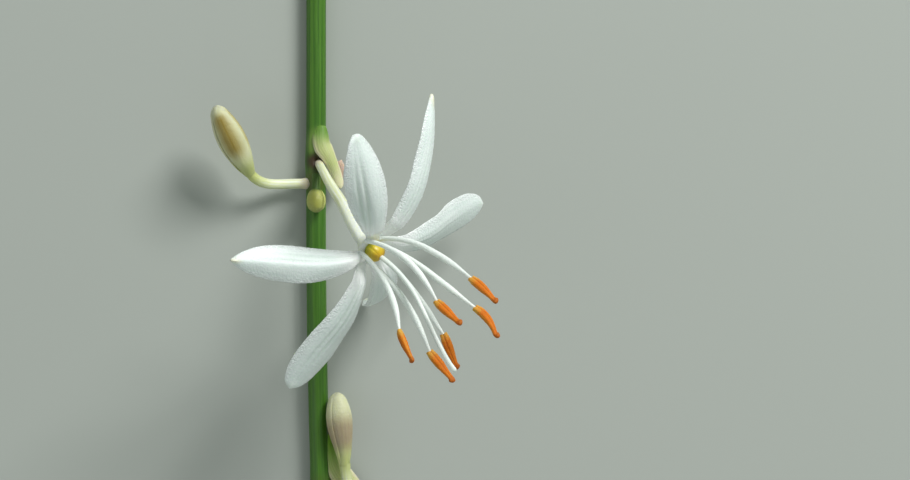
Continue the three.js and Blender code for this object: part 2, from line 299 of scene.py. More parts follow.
def stem_skin():
    """A ring's radius is half the diameter, swollen at each node by a bell curve, plus two cosines for the
    ribs, less the axil pocket, a bell curve along the stem and round it.

    The ring is cut off level where it would go below the floor. At each end rings of falling radius make
    the cut face. Surface x and y are the ring's own, so that their length is 1 on the skin and less on a
    cut, and surface z is the length.
    """
    rows = 420
    share = np.concatenate([STEM_CUT, np.ones(rows), STEM_CUT[::-1]])[:, None]
    skin_at = np.linspace(STEM_CUT_BEVEL, 1 - STEM_CUT_BEVEL, rows)
    at = np.concatenate([np.zeros(len(STEM_CUT)), skin_at, np.ones(len(STEM_CUT))])
    line = smooth_line([(x, y, STEM_AXIS_HEIGHT) for x, y in STEM_ROUTE], at)
    y = line.place[:, 1:2]
    angle = ring(88)
    swelling = sum(np.exp(-(((y - node) / STEM_SWELLING_REACH) ** 2)) for node in STEM_NODES)
    ribs = np.cos(STEM_RIBS * angle + 0.8 * np.sin(0.09 * y)) + 0.5 * np.cos(2.3 * STEM_RIBS * angle)
    smooth = (STEM_DIAMETER + STEM_SWELLING * swelling) / 2
    along_axil = (y - AXIL["y"]) / AXIL["reach"][0]
    round_axil = (np.degrees(angle) - AXIL["angle"]) / AXIL["reach"][1]
    pocket = AXIL["depth"] * np.exp(-(along_axil**2 + round_axil**2))
    radius = share * (smooth + STEM_RIB_HEIGHT * ribs * (1 - 0.6 * swelling) - pocket)
    out = np.maximum(radius * np.sin(angle), -STEM_AXIS_HEIGHT)
    surface = stacked(share * np.cos(angle), share * np.sin(angle), at[:, None] * STEM_LENGTH)
    return Skin(sweep(line, radius * np.cos(angle), out), surface)


def stem_material():
    made, place, surface = new_material("stem_skin_green")
    x, y, _ = surface.split()
    streaks = surface.stretch(2.6, 2.6, 0.05).noise(1.0, 3.0).rise(0.35, 0.7)
    fine = surface.stretch(9.0, 9.0, 0.35).noise(1.0).rise(0.4, 0.75)
    green = (streaks * 0.7 + fine * 0.3).colour(STEM_GREEN, STEM_LIGHT_GREEN)
    under_bract = 1 - place.distance(STEM_PALE_AT).rise(0.25, 1.25)
    # Painted shade: an olive darkening on the stem below the axil, round the young bud's neck.
    olive_shade_below_axil = 1 - place.distance(STEM_OLIVE_SHADE_AT).rise(0.3, 1.1)
    near_low_node = 1 - place.distance(STEM_LOW_OLIVE_AT).rise(0.5, 1.6)
    # Painted shade: a dark patch in the axil pocket where the flower stalk stands.
    axil_shade = 1 - place.distance(STEM_AXIL_SHADE_AT).rise(0.25, 0.78)
    green = (under_bract * 0.8).colour(green, STEM_PALE_GREEN)
    green = (olive_shade_below_axil * 0.85).colour(green, STEM_OLIVE)
    green = (near_low_node * 0.5).colour(green, STEM_OLIVE)
    green = axil_shade.colour(green, STEM_AXIL_SHADE)
    from_middle = (x * x + y * y) ** 0.5
    strands = surface.stretch(4.6, 4.6, 0.0).cells(1.0).rise(0.16, 0.3)
    pith = ((1 - strands) * from_middle.rise(0.25, 0.45)).colour(STEM_PITH, STEM_LIGHT_GREEN)
    rind = from_middle.rise(0.8, 0.93).colour(pith, STEM_GREEN)
    colour = from_middle.rise(0.955, 0.985).colour(rind, green)
    place.finish(
        colour,
        roughness=0.38 + 0.16 * fine,
        height=1 - surface.stretch(14.0, 14.0, 2.2).cells(1.0),
        relief=0.01,
        flesh=(0.25, (0.5, 1.0, 0.2), 0.25),
    )
    return made


stem = piece("stem_ribbed", [stem_skin()], stem_material())
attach(stem, "root")
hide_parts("stem")


# ---- Bracts and bracteole ----
# A bract is a thin scale leaf that clasps the stem's side at a node, pale green with fine lengthwise veins
# and a cream skin at its edge. The bracteole behind the upper one is dry, papery and brownish pink.

BRACT_THICKNESS = 0.14
BRACT_TIP_ROUNDING = 0.1
BRACT_VEIN_WAVES = 28.0
# Clasp is how far a bract's edges bend down at its root and at its tip. Widths, as shares of the full width,
# and tilts, which turn its face, are those at evenly spaced places along it.
UPPER_BRACT = {
    "route": [
        (0.33, 3.25, 0.93),
        (0.39, 2.74, 1.07),
        (0.48, 2.13, 1.17),
        (0.76, 1.58, 1.2),
        (1.07, 0.9, 1.16),
        (1.32, 0.23, 1.08),
        (1.53, -0.52, 1.02),
    ],
    "width": 1.2,
    "widths": [0.75, 0.95, 1, 0.76, 0.64, 0.56, 0.46],
    "clasp": (0.42, 0.08),
    "tilt": [-28, -22, -14],
    "length": 4.1,
}
LOWER_BRACT = {
    "route": [
        (0.88, -15.6, 0.6),
        (0.98, -16.8, 0.66),
        (1.35, -17.8, 0.64),
        (2.15, -18.7, 0.5),
        (2.95, -19.7, 0.4),
    ],
    "width": 1.4,
    "widths": [0.3, 0.55, 0.9, 1, 0.8, 0.4],
    "clasp": (0.1, 0.1),
    "tilt": [-60, -22, -8, -8],
    "length": 4.3,
}
BRACTEOLE = {
    "route": [(1.34, 1.15, 0.34), (1.58, 0.55, 0.36), (1.66, -0.15, 0.34)],
    "width": 0.6,
    "widths": [0.8, 1, 0.5],
    "clasp": (0.05, 0.05),
    "tilt": [0, 0],
    "length": 1.4,
}
BRACT_GREEN = (0.5, 0.54, 0.24)
BRACT_VEIN = (0.38, 0.46, 0.15)
BRACT_CREAM = (0.72, 0.7, 0.44)
UPPER_BRACT_BASE = (0.13, 0.27, 0.03)
LOWER_BRACT_BASE = (0.2, 0.42, 0.03)
BRACTEOLE_PINK = (0.64, 0.46, 0.36)
BRACTEOLE_BROWN = (0.45, 0.29, 0.2)


def between(values, at):
    """The values at evenly spaced places from 0 to 1, joined by straight lines."""
    return np.interp(at, np.linspace(0, 1, len(values)), values)


def rows_to_tip(first, rows, tip):
    """Places along a piece from first almost to 1: even, then crowding over its last stretch as a sine."""
    last_stretch = 1 - tip + tip * np.sin(np.linspace(0, 0.47 * np.pi, 9))
    return np.concatenate([np.linspace(first, 1 - tip, rows, endpoint=False), last_stretch])


def closing(at, tip):
    """1 along a piece, and over its last stretch the height of a quarter circle, so that the end is round."""
    return np.sqrt(1 - np.clip((at - 1 + tip) / tip, 0, 1) ** 2)


def flat_faces(angle, power=0.5):
    """A power of the angle's sine with its sign. Below 1 it makes a ring's two faces flatter."""
    return np.sign(np.sin(angle)) * np.abs(np.sin(angle)) ** power


def rolled(line, across, out, roll):
    """A sweep whose two distances are first turned about the line by so many degrees."""
    c, s = np.cos(np.radians(roll)), np.sin(np.radians(roll))
    return sweep(line, across * c - out * s, across * s + out * c)


def blade(line, angle, width, thickness, middle, roll, along):
    """A thin leaf round a line. On a ring u = cos(angle) runs from edge to edge. Across is u times half the
    width, and out is the middle's height plus the flat face times half the thickness. Roll turns the two
    about the line. Surface is u, the face and the length.
    """
    u, face = np.cos(angle), flat_faces(angle)
    points = rolled(line, u * width / 2, middle + face * thickness / 2, roll)
    return Skin(points, stacked(u, face, along))


def bract_skin(shape, seed):
    """A blade as wide as its list of widths. Its middle bends down to the edges as u squared times the
    clasp, with a cosine across it for the veins, a sine along its edges and a grain. Its thickness falls
    to the edges and to the tip.
    """
    at = rows_to_tip(0, 90, BRACT_TIP_ROUNDING)
    sides = 64
    s, angle = at[:, None], ring(sides)
    u = np.cos(angle)
    width = shape["width"] * between(shape["widths"], s) * closing(s, BRACT_TIP_ROUNDING)
    veins = 0.012 * np.cos(9 * np.pi * u)
    crinkle = 0.02 * np.abs(u) ** 3 * np.sin(2 * np.pi * (2.6 * s + 0.31 * seed) + u)
    clasped = -between(shape["clasp"], s) * (u**2 - 0.4)
    middle = clasped + veins + crinkle + 0.004 * grain(len(at), sides, seed)
    thickness = BRACT_THICKNESS * (1 - 0.6 * u**4) * (1 - 0.3 * s)
    line, roll = smooth_line(shape["route"], at), between(shape["tilt"], s)
    return blade(line, angle, width, thickness, middle, roll, s * shape["length"])


def bract_material(name, body, vein, edge, base, base_end):
    made, place, surface = new_material(name)
    u, _, along = surface.split()
    veins = (u * BRACT_VEIN_WAVES).sine().rise(0.1, 0.95)
    clouds = place.noise(1.6, 3.0)
    colour = (veins * 0.35 + clouds * 0.3).colour(body, vein)
    colour = (u.size().rise(0.55, 0.98) * 0.8).colour(colour, edge)
    colour = along.rise(2.4, 3.9).colour(colour, edge)
    colour = along.rise(0.15 * base_end, base_end).colour(base, colour)
    place.finish(
        colour,
        roughness=0.45 + 0.2 * clouds,
        height=(1 - surface.stretch(16.0, 1.0, 3.0).cells(1.0)) * 0.5 + veins * 0.5,
        relief=0.012,
        flesh=(0.5, (0.7, 1.0, 0.4), 0.3),
    )
    return made


greens = (BRACT_GREEN, BRACT_VEIN, BRACT_CREAM)
upper_green = bract_material("bract_pale_green", *greens, UPPER_BRACT_BASE, 1.5)
lower_green = bract_material("bract_bright_green", *greens, LOWER_BRACT_BASE, 2.4)
papery = bract_material(
    "bracteole_papery", BRACTEOLE_PINK, BRACTEOLE_BROWN, BRACTEOLE_PINK, BRACTEOLE_PINK, 1.0
)
for seed, (node, shape, material, slot) in enumerate(
    [
        ("bract_upper", UPPER_BRACT, upper_green, "bract"),
        ("bract_lower", LOWER_BRACT, lower_green, "bract"),
        ("bracteole", BRACTEOLE, papery, "bracteole"),
    ]
):
    scale_leaf = piece(node + "_veined", [bract_skin(shape, seed)], material)
    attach(scale_leaf, "root")
    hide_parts(node)


# ---- Bud stalks and buds ----
# Each closed bud stands on its own cream stalk. It is three outer tepals wrapped round the three inner ones,
# each outer one with one edge over its neighbour: cream, with an ochre to olive band along its middle.

BUD_STALK_DIAMETER = 0.62
# Fullest is the power that moves a bud's widest place towards its tip, and turned is how far round it its
# first leaf's middle lies. Band is where along it the dark band fades in and out, and spread is where
# across each leaf it fades.
LEFT_BUD = {
    "stalk": [
        (-0.45, -0.22, 0.62),
        (-1.9, -0.25, 0.8),
        (-3.1, -0.2, 1.3),
        (-3.85, 0.22, 1.75),
        (-4.2, 0.75, 2.08),
    ],
    "stalk_length": 4.7,
    "body": [
        (-4.0, 0.38, 1.85),
        (-4.37, 1.1, 2.28),
        (-4.88, 2.1, 2.7),
        (-5.5, 3.35, 3.1),
        (-6.06, 4.45, 3.45),
    ],
    "length": 4.8,
    "diameter": 1.64,
    "fullest": 1.02,
    "turned": 80,
    "band": (1.0, 2.2, 4.0, 4.7),
    "spread": (0.25, 1.2),
}
LOWER_BUD = {
    "stalk": [
        (0.92, -19.5, 1.0),
        (1.4, -20.1, 1.2),
        (1.95, -19.7, 1.3),
        (1.93, -18.5, 1.35),
        (1.77, -17.4, 1.39),
    ],
    "stalk_length": 4.0,
    "body": [
        (1.76, -17.5, 1.4),
        (1.7, -16.7, 1.39),
        (1.57, -15.7, 1.38),
        (1.43, -14.6, 1.34),
        (1.3, -13.0, 1.2),
    ],
    "length": 4.6,
    "diameter": 1.47,
    "fullest": 1.35,
    "turned": -10,
    "band": (0.4, 1.2, 2.3, 3.7),
    "spread": (0.8, 2.2),
}
YOUNG_BUD = {
    "body": [(0.02, 0.3, 1.36), (0.02, -0.6, 1.55), (0.03, -1.35, 1.72), (0.03, -2, 1.76)],
    "length": 2.4,
    "neck_diameter": 0.44,
    "neck_end": 0.4,
    "diameter": 1.12,
    "turned": 90,
    "band": (0.9, 1.6, 1.9, 2.4),
    "spread": (0.2, 1.1),
}
BUD_CORE = 0.93
BUD_LEAF_THICKNESS = 0.07
BUD_LEAF_TUCK = 0.04
BUD_LEAF_SPAN = np.radians(67)
BUD_TIP_ROUNDING = 0.1
BUD_VEIN_WAVES = 21.0
YOUNG_BUD_TIP_ROUNDING = 0.12
BUD_CREAM = (0.7, 0.7, 0.4)
BUD_OCHRE = (0.31, 0.22, 0.03)
BUD_PINKISH_BROWN = (0.37, 0.29, 0.18)
BUD_BASE_GREEN = (0.5, 0.55, 0.2)
YOUNG_BUD_OLIVE = (0.42, 0.45, 0.12)
YOUNG_BUD_GREEN = (0.36, 0.37, 0.07)
YOUNG_NECK_GREEN = (0.06, 0.13, 0.015)
STALK_CREAM = (0.68, 0.72, 0.4)
STALK_PINK = (0.62, 0.5, 0.38)
STALK_WHITE = (0.8, 0.84, 0.74)


def rod(line, angle, radius, along):
    """A round piece: across is the radius times the angle's cosine, and out is the radius times its sine."""
    points = sweep(line, radius * np.cos(angle), radius * np.sin(angle))
    return Skin(points, stacked(np.cos(angle), np.sin(angle), along))


def bud_skins(shape, at, radius):
    """A core a little thinner than the radius, and three leaves round it. A leaf's ring runs u = cos(angle)
    times its span round from its own middle. It lies at the radius, plus the tuck times u, so that one edge
    lies over the next leaf, plus a bell curve for the keel, a cosine for the veins and a grain, plus its
    flat face times half its thickness.
    """
    sides = 40
    s, angle = at[:, None], ring(sides)
    line = smooth_line(shape["body"], at)
    along = s * shape["length"]
    core = rod(line, angle, BUD_CORE * radius, along)
    core.surface[..., 0] = 1
    skins = [core]
    u, face = np.cos(angle), flat_faces(angle)
    tuck = BUD_LEAF_TUCK * u * smoothstep(s, 0, 0.15) * (1 - 0.6 * smoothstep(s, 0.7, 1))
    keel = 0.012 * np.exp(-((u / 0.2) ** 2)) + 0.004 * np.cos(7 * np.pi * u)
    for third in range(3):
        around = np.radians(shape["turned"] + 120 * third) + u * BUD_LEAF_SPAN
        lifted = tuck + (keel + 0.006 * grain(len(at), sides, third)) * closing(s, BUD_TIP_ROUNDING)
        reach = radius + lifted + face * BUD_LEAF_THICKNESS / 2
        points = sweep(line, reach * np.cos(around), reach * np.sin(around))
        skins.append(Skin(points, stacked(u, face, along)))
    return skins


def bud_radius(at, diameter, fullest):
    """The radius swells from the stalk's, which shrinks to the tip, as the sine of a power of the length,
    and closes round over the last tenth to a blunt tip.
    """
    s = np.clip(at[:, None], 0, 1)
    swell = np.sin(np.pi * (0.93 * s) ** fullest)
    width = BUD_STALK_DIAMETER * (1 - 0.4 * s) + (diameter - 0.7 * BUD_STALK_DIAMETER) * swell
    return width / 2 * closing(at[:, None], BUD_TIP_ROUNDING)


def young_bud_radius(at):
    """The radius keeps to the neck's, then swells as a flattened sine and closes round."""
    neck = YOUNG_BUD["neck_end"]
    s = np.clip((at[:, None] - neck) / (1 - neck), 0, 0.96)
    swell = np.sin(np.pi * s) ** 0.7
    width = YOUNG_BUD["neck_diameter"] + (YOUNG_BUD["diameter"] - YOUNG_BUD["neck_diameter"]) * swell
    return width / 2 * closing(at[:, None], YOUNG_BUD_TIP_ROUNDING)


def stalk_skin(route, length, seed):
    """A rod with five faint ridges, a cosine round it, and a grain. It widens by a fifth at its foot, and
    less at its end.
    """
    at = np.linspace(-0.03, 1.02, 110)
    sides = 40
    s, angle = at[:, None], ring(sides)
    ends = 0.2 * (1 - smoothstep(s, 0, 0.12)) + 0.14 * smoothstep(s, 0.85, 1)
    ridges = 0.015 * np.cos(5 * angle + 3 * s) + 0.006 * grain(len(at), sides, seed)
    return rod(smooth_line(route, at), angle, BUD_STALK_DIAMETER / 2 * (1 + ends + ridges), s * length)


def stalk_material(name, pink_until, end, end_from):
    made, place, surface = new_material(name)
    _, _, along = surface.split()
    streaks = surface.stretch(3.0, 3.0, 0.5).noise(1.0, 3.0)
    colour = streaks.rise(0.3, 0.75).colour(STALK_CREAM, STALK_WHITE)
    colour = ((1 - along.rise(0.0, pink_until)) * 0.7).colour(colour, STALK_PINK)
    colour = along.rise(*end_from).colour(colour, end)
    place.finish(
        colour,
        roughness=0.36 + 0.2 * streaks,
        height=1 - surface.stretch(10.0, 10.0, 5.0).cells(1.0),
        relief=0.008,
        flesh=(0.6, (1.0, 1.0, 0.6), 0.4),
    )
    return made


def bud_material(name, body, band, shape, base, base_ends):
    made, place, surface = new_material(name)
    u, _, along = surface.split()
    clouds = place.noise(1.0, 3.0)
    across_band = 1 - (u.size() + 0.3 * clouds).rise(*shape["spread"])
    lengthwise = along.rise(*shape["band"][:2]) * (1 - along.rise(*shape["band"][2:]))
    veins = (u * BUD_VEIN_WAVES).sine().rise(0.2, 1.0)
    colour = (across_band * lengthwise * (0.92 + 0.08 * veins)).colour(body, band)
    colour = (1 - along.rise(*base_ends)).colour(colour, base)
    place.finish(
        colour,
        roughness=0.42 + 0.2 * clouds,
        height=1 - surface.stretch(14.0, 1.0, 7.0).cells(1.0),
        relief=0.01,
        flesh=(0.5, (1.0, 0.9, 0.5), 0.4),
    )
    return made


bud_stalk = stalk_material("bud_stalk_cream", 0.9, BUD_BASE_GREEN, (2.0, 4.3))
stalked_buds = [("left", LEFT_BUD, BUD_OCHRE), ("lower", LOWER_BUD, BUD_PINKISH_BROWN)]
for seed, (side, shape, band) in enumerate(stalked_buds):
    ridged = stalk_skin(shape["stalk"], shape["stalk_length"], seed)
    stalk = piece("bud_stalk_" + side + "_ridged", [ridged], bud_stalk)
    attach(stalk, "root")
    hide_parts("bud_stalk_" + side)
    at = rows_to_tip(0, 110, BUD_TIP_ROUNDING)
    leaves = bud_skins(shape, at, bud_radius(at, shape["diameter"], shape["fullest"]))
    skin = bud_material("bud_" + side + "_banded", BUD_CREAM, band, shape, BUD_BASE_GREEN, (0.3, 1.7))
    closed_bud = piece("bud_" + side + "_wrapped", leaves, skin)
    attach(closed_bud, "root")
    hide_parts("bud_" + side)

at = rows_to_tip(-0.02, 90, YOUNG_BUD_TIP_ROUNDING)
young_skin = bud_material(
    "young_bud_olive", YOUNG_BUD_OLIVE, YOUNG_BUD_GREEN, YOUNG_BUD, YOUNG_NECK_GREEN, (0.9, 1.25)
)
young_bud = piece("bud_young_wrapped", bud_skins(YOUNG_BUD, at, young_bud_radius(at)), young_skin)
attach(young_bud, "root")
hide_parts("bud_young")


# ---- Flower stalk and receptacle ----
# The open flower's stalk is cream, flushed pink at its foot and white under the flower. It widens into the
# receptacle, the cushion that the tepals and filaments grow from round the ovary's foot.

FLOWER_STALK = [
    (0.2, 0.98, 0.95),
    (0.58, 0.34, 3.1),
    (1.09, -0.5, 4.9),
    (1.8, -1.6, 6.6),
    (2.46, -2.84, 7.78),
    (2.95, -3.65, 8.58),
]
FLOWER_STALK_DIAMETER = 0.52
FLOWER_STALK_WIDENING = 0.5
FLOWER_STALK_LENGTH = 9.6
FLOWER_MIDDLE = np.array([3.76, -4.38, 9.3])
FLOWER_FACING = np.radians(-42)
FLOWER_LIFT = np.radians(31)
# The receptacle's outline, as heights along the flower's axis and radii round it.
RECEPTACLE = [
    (-1.2, 0.4),
    (-0.95, 0.56),
    (-0.72, 0.76),
    (-0.52, 0.92),
    (-0.38, 0.94),
    (-0.3, 0.84),
    (-0.28, 0.62),
]


def towards(heading, lift):
    """The direction (cos lift cos heading, cos lift sin heading, sin lift), of angles in radians."""
    return stacked(np.cos(lift) * np.cos(heading), np.cos(lift) * np.sin(heading), np.sin(lift))


FLOWER_AXIS = towards(FLOWER_FACING, FLOWER_LIFT)
FLOWER_SIDE = towards(FLOWER_FACING + np.pi / 2, 0)
FLOWER_TURN = np.array([FLOWER_SIDE, np.cross(FLOWER_AXIS, FLOWER_SIDE), FLOWER_AXIS])


def in_flower(line):
    """A line given in the flower's own frame: each vector is turned, and the places are then moved."""
    place, *directions = (vectors @ FLOWER_TURN for vectors in line)
    return Line(place + FLOWER_MIDDLE, *directions)


def flower_stalk_skin():
    """A rod along the stalk whose radius grows all along it, with six faint ridges, a cosine round it, and
    a grain, then rings of the receptacle's outline, on the spline through its heights and radii.
    """
    at = np.linspace(-0.02, 1, 120)
    sides = 48
    s, angle = at[:, None], ring(sides)
    heights, radii = np.hsplit(spline(RECEPTACLE, np.linspace(0, 1, 36)), 2)
    head = level_line(FLOWER_MIDDLE + heights * FLOWER_AXIS, np.ones_like(heights) * FLOWER_AXIS)
    line = Line(*(np.concatenate(pair) for pair in zip(smooth_line(FLOWER_STALK, at), head)))
    widened = 1 + FLOWER_STALK_WIDENING * smoothstep(s, 0.1, 1)
    ridges = 1 + 0.014 * np.cos(6 * angle + 2 * s) + 0.005 * grain(len(at), sides, 7)
    radius = np.concatenate([FLOWER_STALK_DIAMETER / 2 * widened * ridges, radii + 0 * angle])
    return rod(line, angle, radius, FLOWER_STALK_LENGTH * np.concatenate([s, np.ones_like(radii)]))


flower_stalk = piece(
    "flower_stalk_ridged",
    [flower_stalk_skin()],
    stalk_material("flower_stalk_cream", 1.3, STALK_WHITE, (5.5, 8.8)),
)
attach(flower_stalk, "root")
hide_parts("flower_stalk")


# ---- Tepals ----
# Three narrow outer tepals and three broad inner ones grow from the receptacle's rim. They are thin, white
# and a little see-through, folded lengthwise, and their edges are beaded with shining swollen cells.

TEPAL_ROOT_RADIUS = 1.2
TEPAL_THICKNESS = 0.24
TEPAL_TIP_WIDTH = 0.36
TEPAL_TIP_ROUNDING = 0.04
TEPAL_CUP = -0.1
TEPAL_ROOT_DIP = 0.3
TEPAL_GROOVES_APART = 0.3
TEPAL_GROOVE_REACH = 0.09
TEPAL_DEEPEST_GROOVE = 0.09
BENT_LINE_STEPS = 600
# Widest is the share of the length where a whorl's tepals are widest. The powers and the fullness shape
# their outlines to the root and to the tip.
OUTER_TEPAL = {"widest": 0.53, "root_power": 0.8, "tip_power": 2.3, "tip_fullness": 0.8}
INNER_TEPAL = {"widest": 0.62, "root_power": 1.0, "tip_power": 2.3, "tip_fullness": 0.55}
# Azimuth is where a tepal stands round the flower's axis. Lift and turn are given at evenly spaced places
# along it, and widths at its root and where it is widest. Roll turns its face and fold stands its edges
# over its crease, each at the root and at the tip: a minus fold is a ridge. The crease and the midrib run
# at shares of the width, from -1 at one edge to 1 at the other, and grooves is the depth of the two beside
# the midrib.
TEPALS = {
    "outer_tepal_1": {
        "whorl": OUTER_TEPAL,
        "length": 9.15,
        "azimuth": 10.5,
        "lift": (9.8, -24.9, -37.5),
        "turn": (0, 4.0, 12.7),
        "roll": (-6.0, 17.0),
        "widths": (1.17, 2.19),
        "fold": (-0.1, -0.2),
        "crease": 0.2,
        "midrib": 0.15,
        "grooves": 0.03,
    },
    "inner_tepal_1": {
        "whorl": INNER_TEPAL,
        "length": 8.9,
        "azimuth": 66.7,
        "lift": (11.9, -7.7, -21.1),
        "turn": (0, -2.6, -6.2),
        "roll": (-36.4, 24.4),
        "widths": (0.85, 2.71),
        "fold": (-0.35, -0.35),
        "crease": -0.1,
        "midrib": 0.33,
        "grooves": 0.09,
    },
    "outer_tepal_2": {
        "whorl": OUTER_TEPAL,
        "length": 8.9,
        "azimuth": 134,
        "lift": (1.6, -22.7, -15.2),
        "turn": (0, -8.6, -11.4),
        "roll": (40.2, 28.0),
        "widths": (0.72, 2.18),
        "fold": (-0.6, -0.45),
        "crease": 0.0,
        "midrib": -0.35,
        "grooves": 0.05,
    },
    "inner_tepal_2": {
        "whorl": INNER_TEPAL,
        "length": 8.9,
        "azimuth": 197.3,
        "lift": (24.7, -5.9, -6.5),
        "turn": (0, -3.6, 1.3),
        "roll": (-7.5, 20.8),
        "widths": (1.15, 2.65),
        "fold": (-0.3, -0.2),
        "crease": 0.1,
        "midrib": -0.1,
        "grooves": 0.07,
    },
    "outer_tepal_3": {
        "whorl": OUTER_TEPAL,
        "length": 8.9,
        "azimuth": 254,
        "lift": (2, -24, -50),
        "turn": (0, -2.2, -4.5),
        "roll": (4, 8),
        "widths": (0.9, 2.2),
        "fold": (-0.2, -0.1),
        "crease": 0.0,
        "midrib": 0.1,
        "grooves": 0.04,
    },
    "inner_tepal_3": {
        "whorl": INNER_TEPAL,
        "length": 8.9,
        "azimuth": 309.5,
        "lift": (9.9, -18.8, -4.1),
        "turn": (0, 0.4, 6.1),
        "roll": (7.5, -13.6),
        "widths": (1.05, 2.8),
        "fold": (-0.35, -0.2),
        "crease": 0.2,
        "midrib": 0.1,
        "grooves": 0.02,
    },
}
TEPAL_WHITE = (0.8, 0.88, 0.84)
TEPAL_GREY = (0.62, 0.72, 0.68)
# The colour of the painted light at the tepals' roots.
TEPAL_ROOT_PAINTED_LIGHT = (0.92, 0.97, 0.93)
TEPAL_VEIN = (0.55, 0.66, 0.56)
TEPAL_CREAM = (0.72, 0.68, 0.42)


def bent_line(start, heading, lift, length, at):
    """Frames along a line whose heading and lift run through evenly spaced values from 0 to 1 along it.

    Along points towards them, each place is the sum of the steps along it from the start, side is level,
    and out is along x side.
    """
    fine = np.linspace(at[0], at[-1], BENT_LINE_STEPS)
    heading, lift = (np.radians(between(values, fine)) for values in (heading, lift))
    along, side = towards(heading, lift), towards(heading + np.pi / 2, 0)
    steps = (along[1:] + along[:-1]) / 2 * length * (fine[1] - fine[0])
    place = np.concatenate([np.zeros((1, 3)), np.cumsum(steps, axis=0)])
    place, along, side = (
        stacked(*(np.interp(at, fine, column) for column in vectors.T)) for vectors in (place, along, side)
    )
    place += np.array(start) - [np.interp(0, at, column) for column in place.T]
    return Line(place, unit(along), unit(side), unit(np.cross(along, side)))


def from_flower(azimuth, turn, lift, length, radius, height, at):
    """A bent line in the flower's frame, from an azimuth, a radius and a height, that sets out away from
    the axis and turns from there.
    """
    out = np.radians(azimuth)
    start = (radius * np.cos(out), radius * np.sin(out), height)
    return bent_line(start, [azimuth + turned for turned in turn], lift, length, at)


def tepal_width(s, whorl, widths):
    """From root to widest the width grows as a power of a sine. From there, with q the share of the rest of
    the way, it falls as a power of 1 less a power of q, to a blunt point that closes round.
    """
    rise = np.sin(np.clip(s / whorl["widest"], 0, 1) * np.pi / 2) ** whorl["root_power"]
    opening = widths[0] + (widths[1] - widths[0]) * rise
    q = np.clip((s - whorl["widest"]) / (1 - whorl["widest"]), 0, 1)
    fall = widths[1] * (1 - q ** whorl["tip_power"]) ** whorl["tip_fullness"]
    width = np.where(s < whorl["widest"], opening, np.maximum(fall, TEPAL_TIP_WIDTH))
    return width * closing(s, TEPAL_TIP_ROUNDING)


def tepal_skin(shape, seed):
    """A blade whose middle is cupped as u squared, folded as the distance from the crease, rounded there,
    grooved on both sides of the midrib as bell curves, waved at its edges as a sine and dipped at its root.
    Its thickness falls towards the edges and grows a little at the tip. Beads stand on it, tallest at the
    edges. Surface y is how deep the grooves are.
    """
    at = rows_to_tip(-0.07, 190, TEPAL_TIP_ROUNDING)
    sides = 100
    s, angle = at[:, None], ring(sides)
    u = np.cos(angle)
    bulge = np.sin(np.pi * np.clip(s, 0, 1))
    cup = TEPAL_CUP * bulge * (u**2 - 0.4)
    fold, roll = (first + (last - first) * s for first, last in (shape["fold"], shape["roll"]))
    folded = fold * (np.sqrt((u - shape["crease"]) ** 2 + 0.04) - 0.45)
    folded *= smoothstep(s, -0.05, 0.2) * (1 - 0.7 * smoothstep(s, 0.75, 1))
    groove_at = shape["midrib"] + np.array([-0.5, 0.5])[:, None, None] * TEPAL_GROOVES_APART
    grooves = np.exp(-(((u - groove_at) / TEPAL_GROOVE_REACH) ** 2)).sum(axis=0)
    grooves = grooves * smoothstep(s, 0, 0.1) * (1 - smoothstep(s, 0.5, 1))
    dip = TEPAL_ROOT_DIP * (1 - smoothstep(s, -0.02, 0.12))
    phase = 2 * np.pi * 0.37 * seed
    waves = 0.035 * np.abs(u) ** 3 * np.sin(2 * np.pi * (2.3 + 0.9 * np.sign(u)) * s + phase) * bulge
    middle = cup + folded - shape["grooves"] * grooves + waves - dip
    thickness = TEPAL_THICKNESS * (1 - 0.45 * u**4) * (1 + 0.3 * smoothstep(s, 0.9, 1))
    beads = (0.012 + 0.052 * np.abs(u) ** 5) * grain(len(at), sides, seed)
    thickness = (thickness + beads) * closing(s, TEPAL_TIP_ROUNDING)
    width = tepal_width(s, shape["whorl"], shape["widths"])
    width = width * (1 + 0.014 * grain(len(at), sides, seed + 50) * np.abs(u) ** 4)
    length = shape["length"]
    line = from_flower(shape["azimuth"], shape["turn"], shape["lift"], length, TEPAL_ROOT_RADIUS, 0, at)
    made = blade(in_flower(line), angle, width, thickness, middle, roll, s * length)
    made.surface[..., 1] = grooves * shape["grooves"] / TEPAL_DEEPEST_GROOVE
    return made


def tepal_material(name, tip):
    made, place, surface = new_material(name)
    u, grooves, along = surface.split()
    streaks = surface.stretch(5.0, 0.4, 0.28).noise(1.0, 4.0).rise(0.3, 0.7)
    edge = u.size().rise(0.6, 0.95)
    cells = place.cells(9.0)
    colour = (streaks * 0.5 * (1 - edge)).colour(TEPAL_WHITE, TEPAL_GREY)
    colour = (grooves * 0.4).colour(colour, TEPAL_VEIN)
    colour = ((along + 0.6 * (1 - u.size())).rise(8.5, 9.3) * tip).colour(colour, TEPAL_CREAM)
    # Painted light: whiter towards the root, lifting the shade round the flower's middle.
    colour = (1 - along.rise(0.4, 2.6)).colour(colour, TEPAL_ROOT_PAINTED_LIGHT)
    place.finish(
        colour,
        roughness=0.44 - 0.3 * edge,
        height=(1 - cells) * (0.3 + 0.7 * edge),
        relief=0.045,
        flesh=(0.4, (0.9, 1.0, 0.9), 0.35),
    )
    return made


tepal_materials = {
    "outer": tepal_material("outer_tepal_white", 0.6),
    "inner": tepal_material("inner_tepal_white", 0.1),
}
for seed, (node, shape) in enumerate(TEPALS.items()):
    tepal = piece(node + "_folded", [tepal_skin(shape, seed)], tepal_materials[node[:5]])
    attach(tepal, "root")
    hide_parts(node)


# ---- Stamens ----
# Six stamens, one in front of each tepal. A filament is a white spindle, rough with tiny bumps. Its anther
# hangs from its tip: two orange pollen lobes with a furrow between them, drawn out to a hooked end.

FILAMENT_ROOT_HEIGHT = -0.2
FILAMENT_DIAMETERS = {"root": 0.28, "belly": 0.39, "neck": 0.17}
FILAMENT_BELLY_AT = 0.68
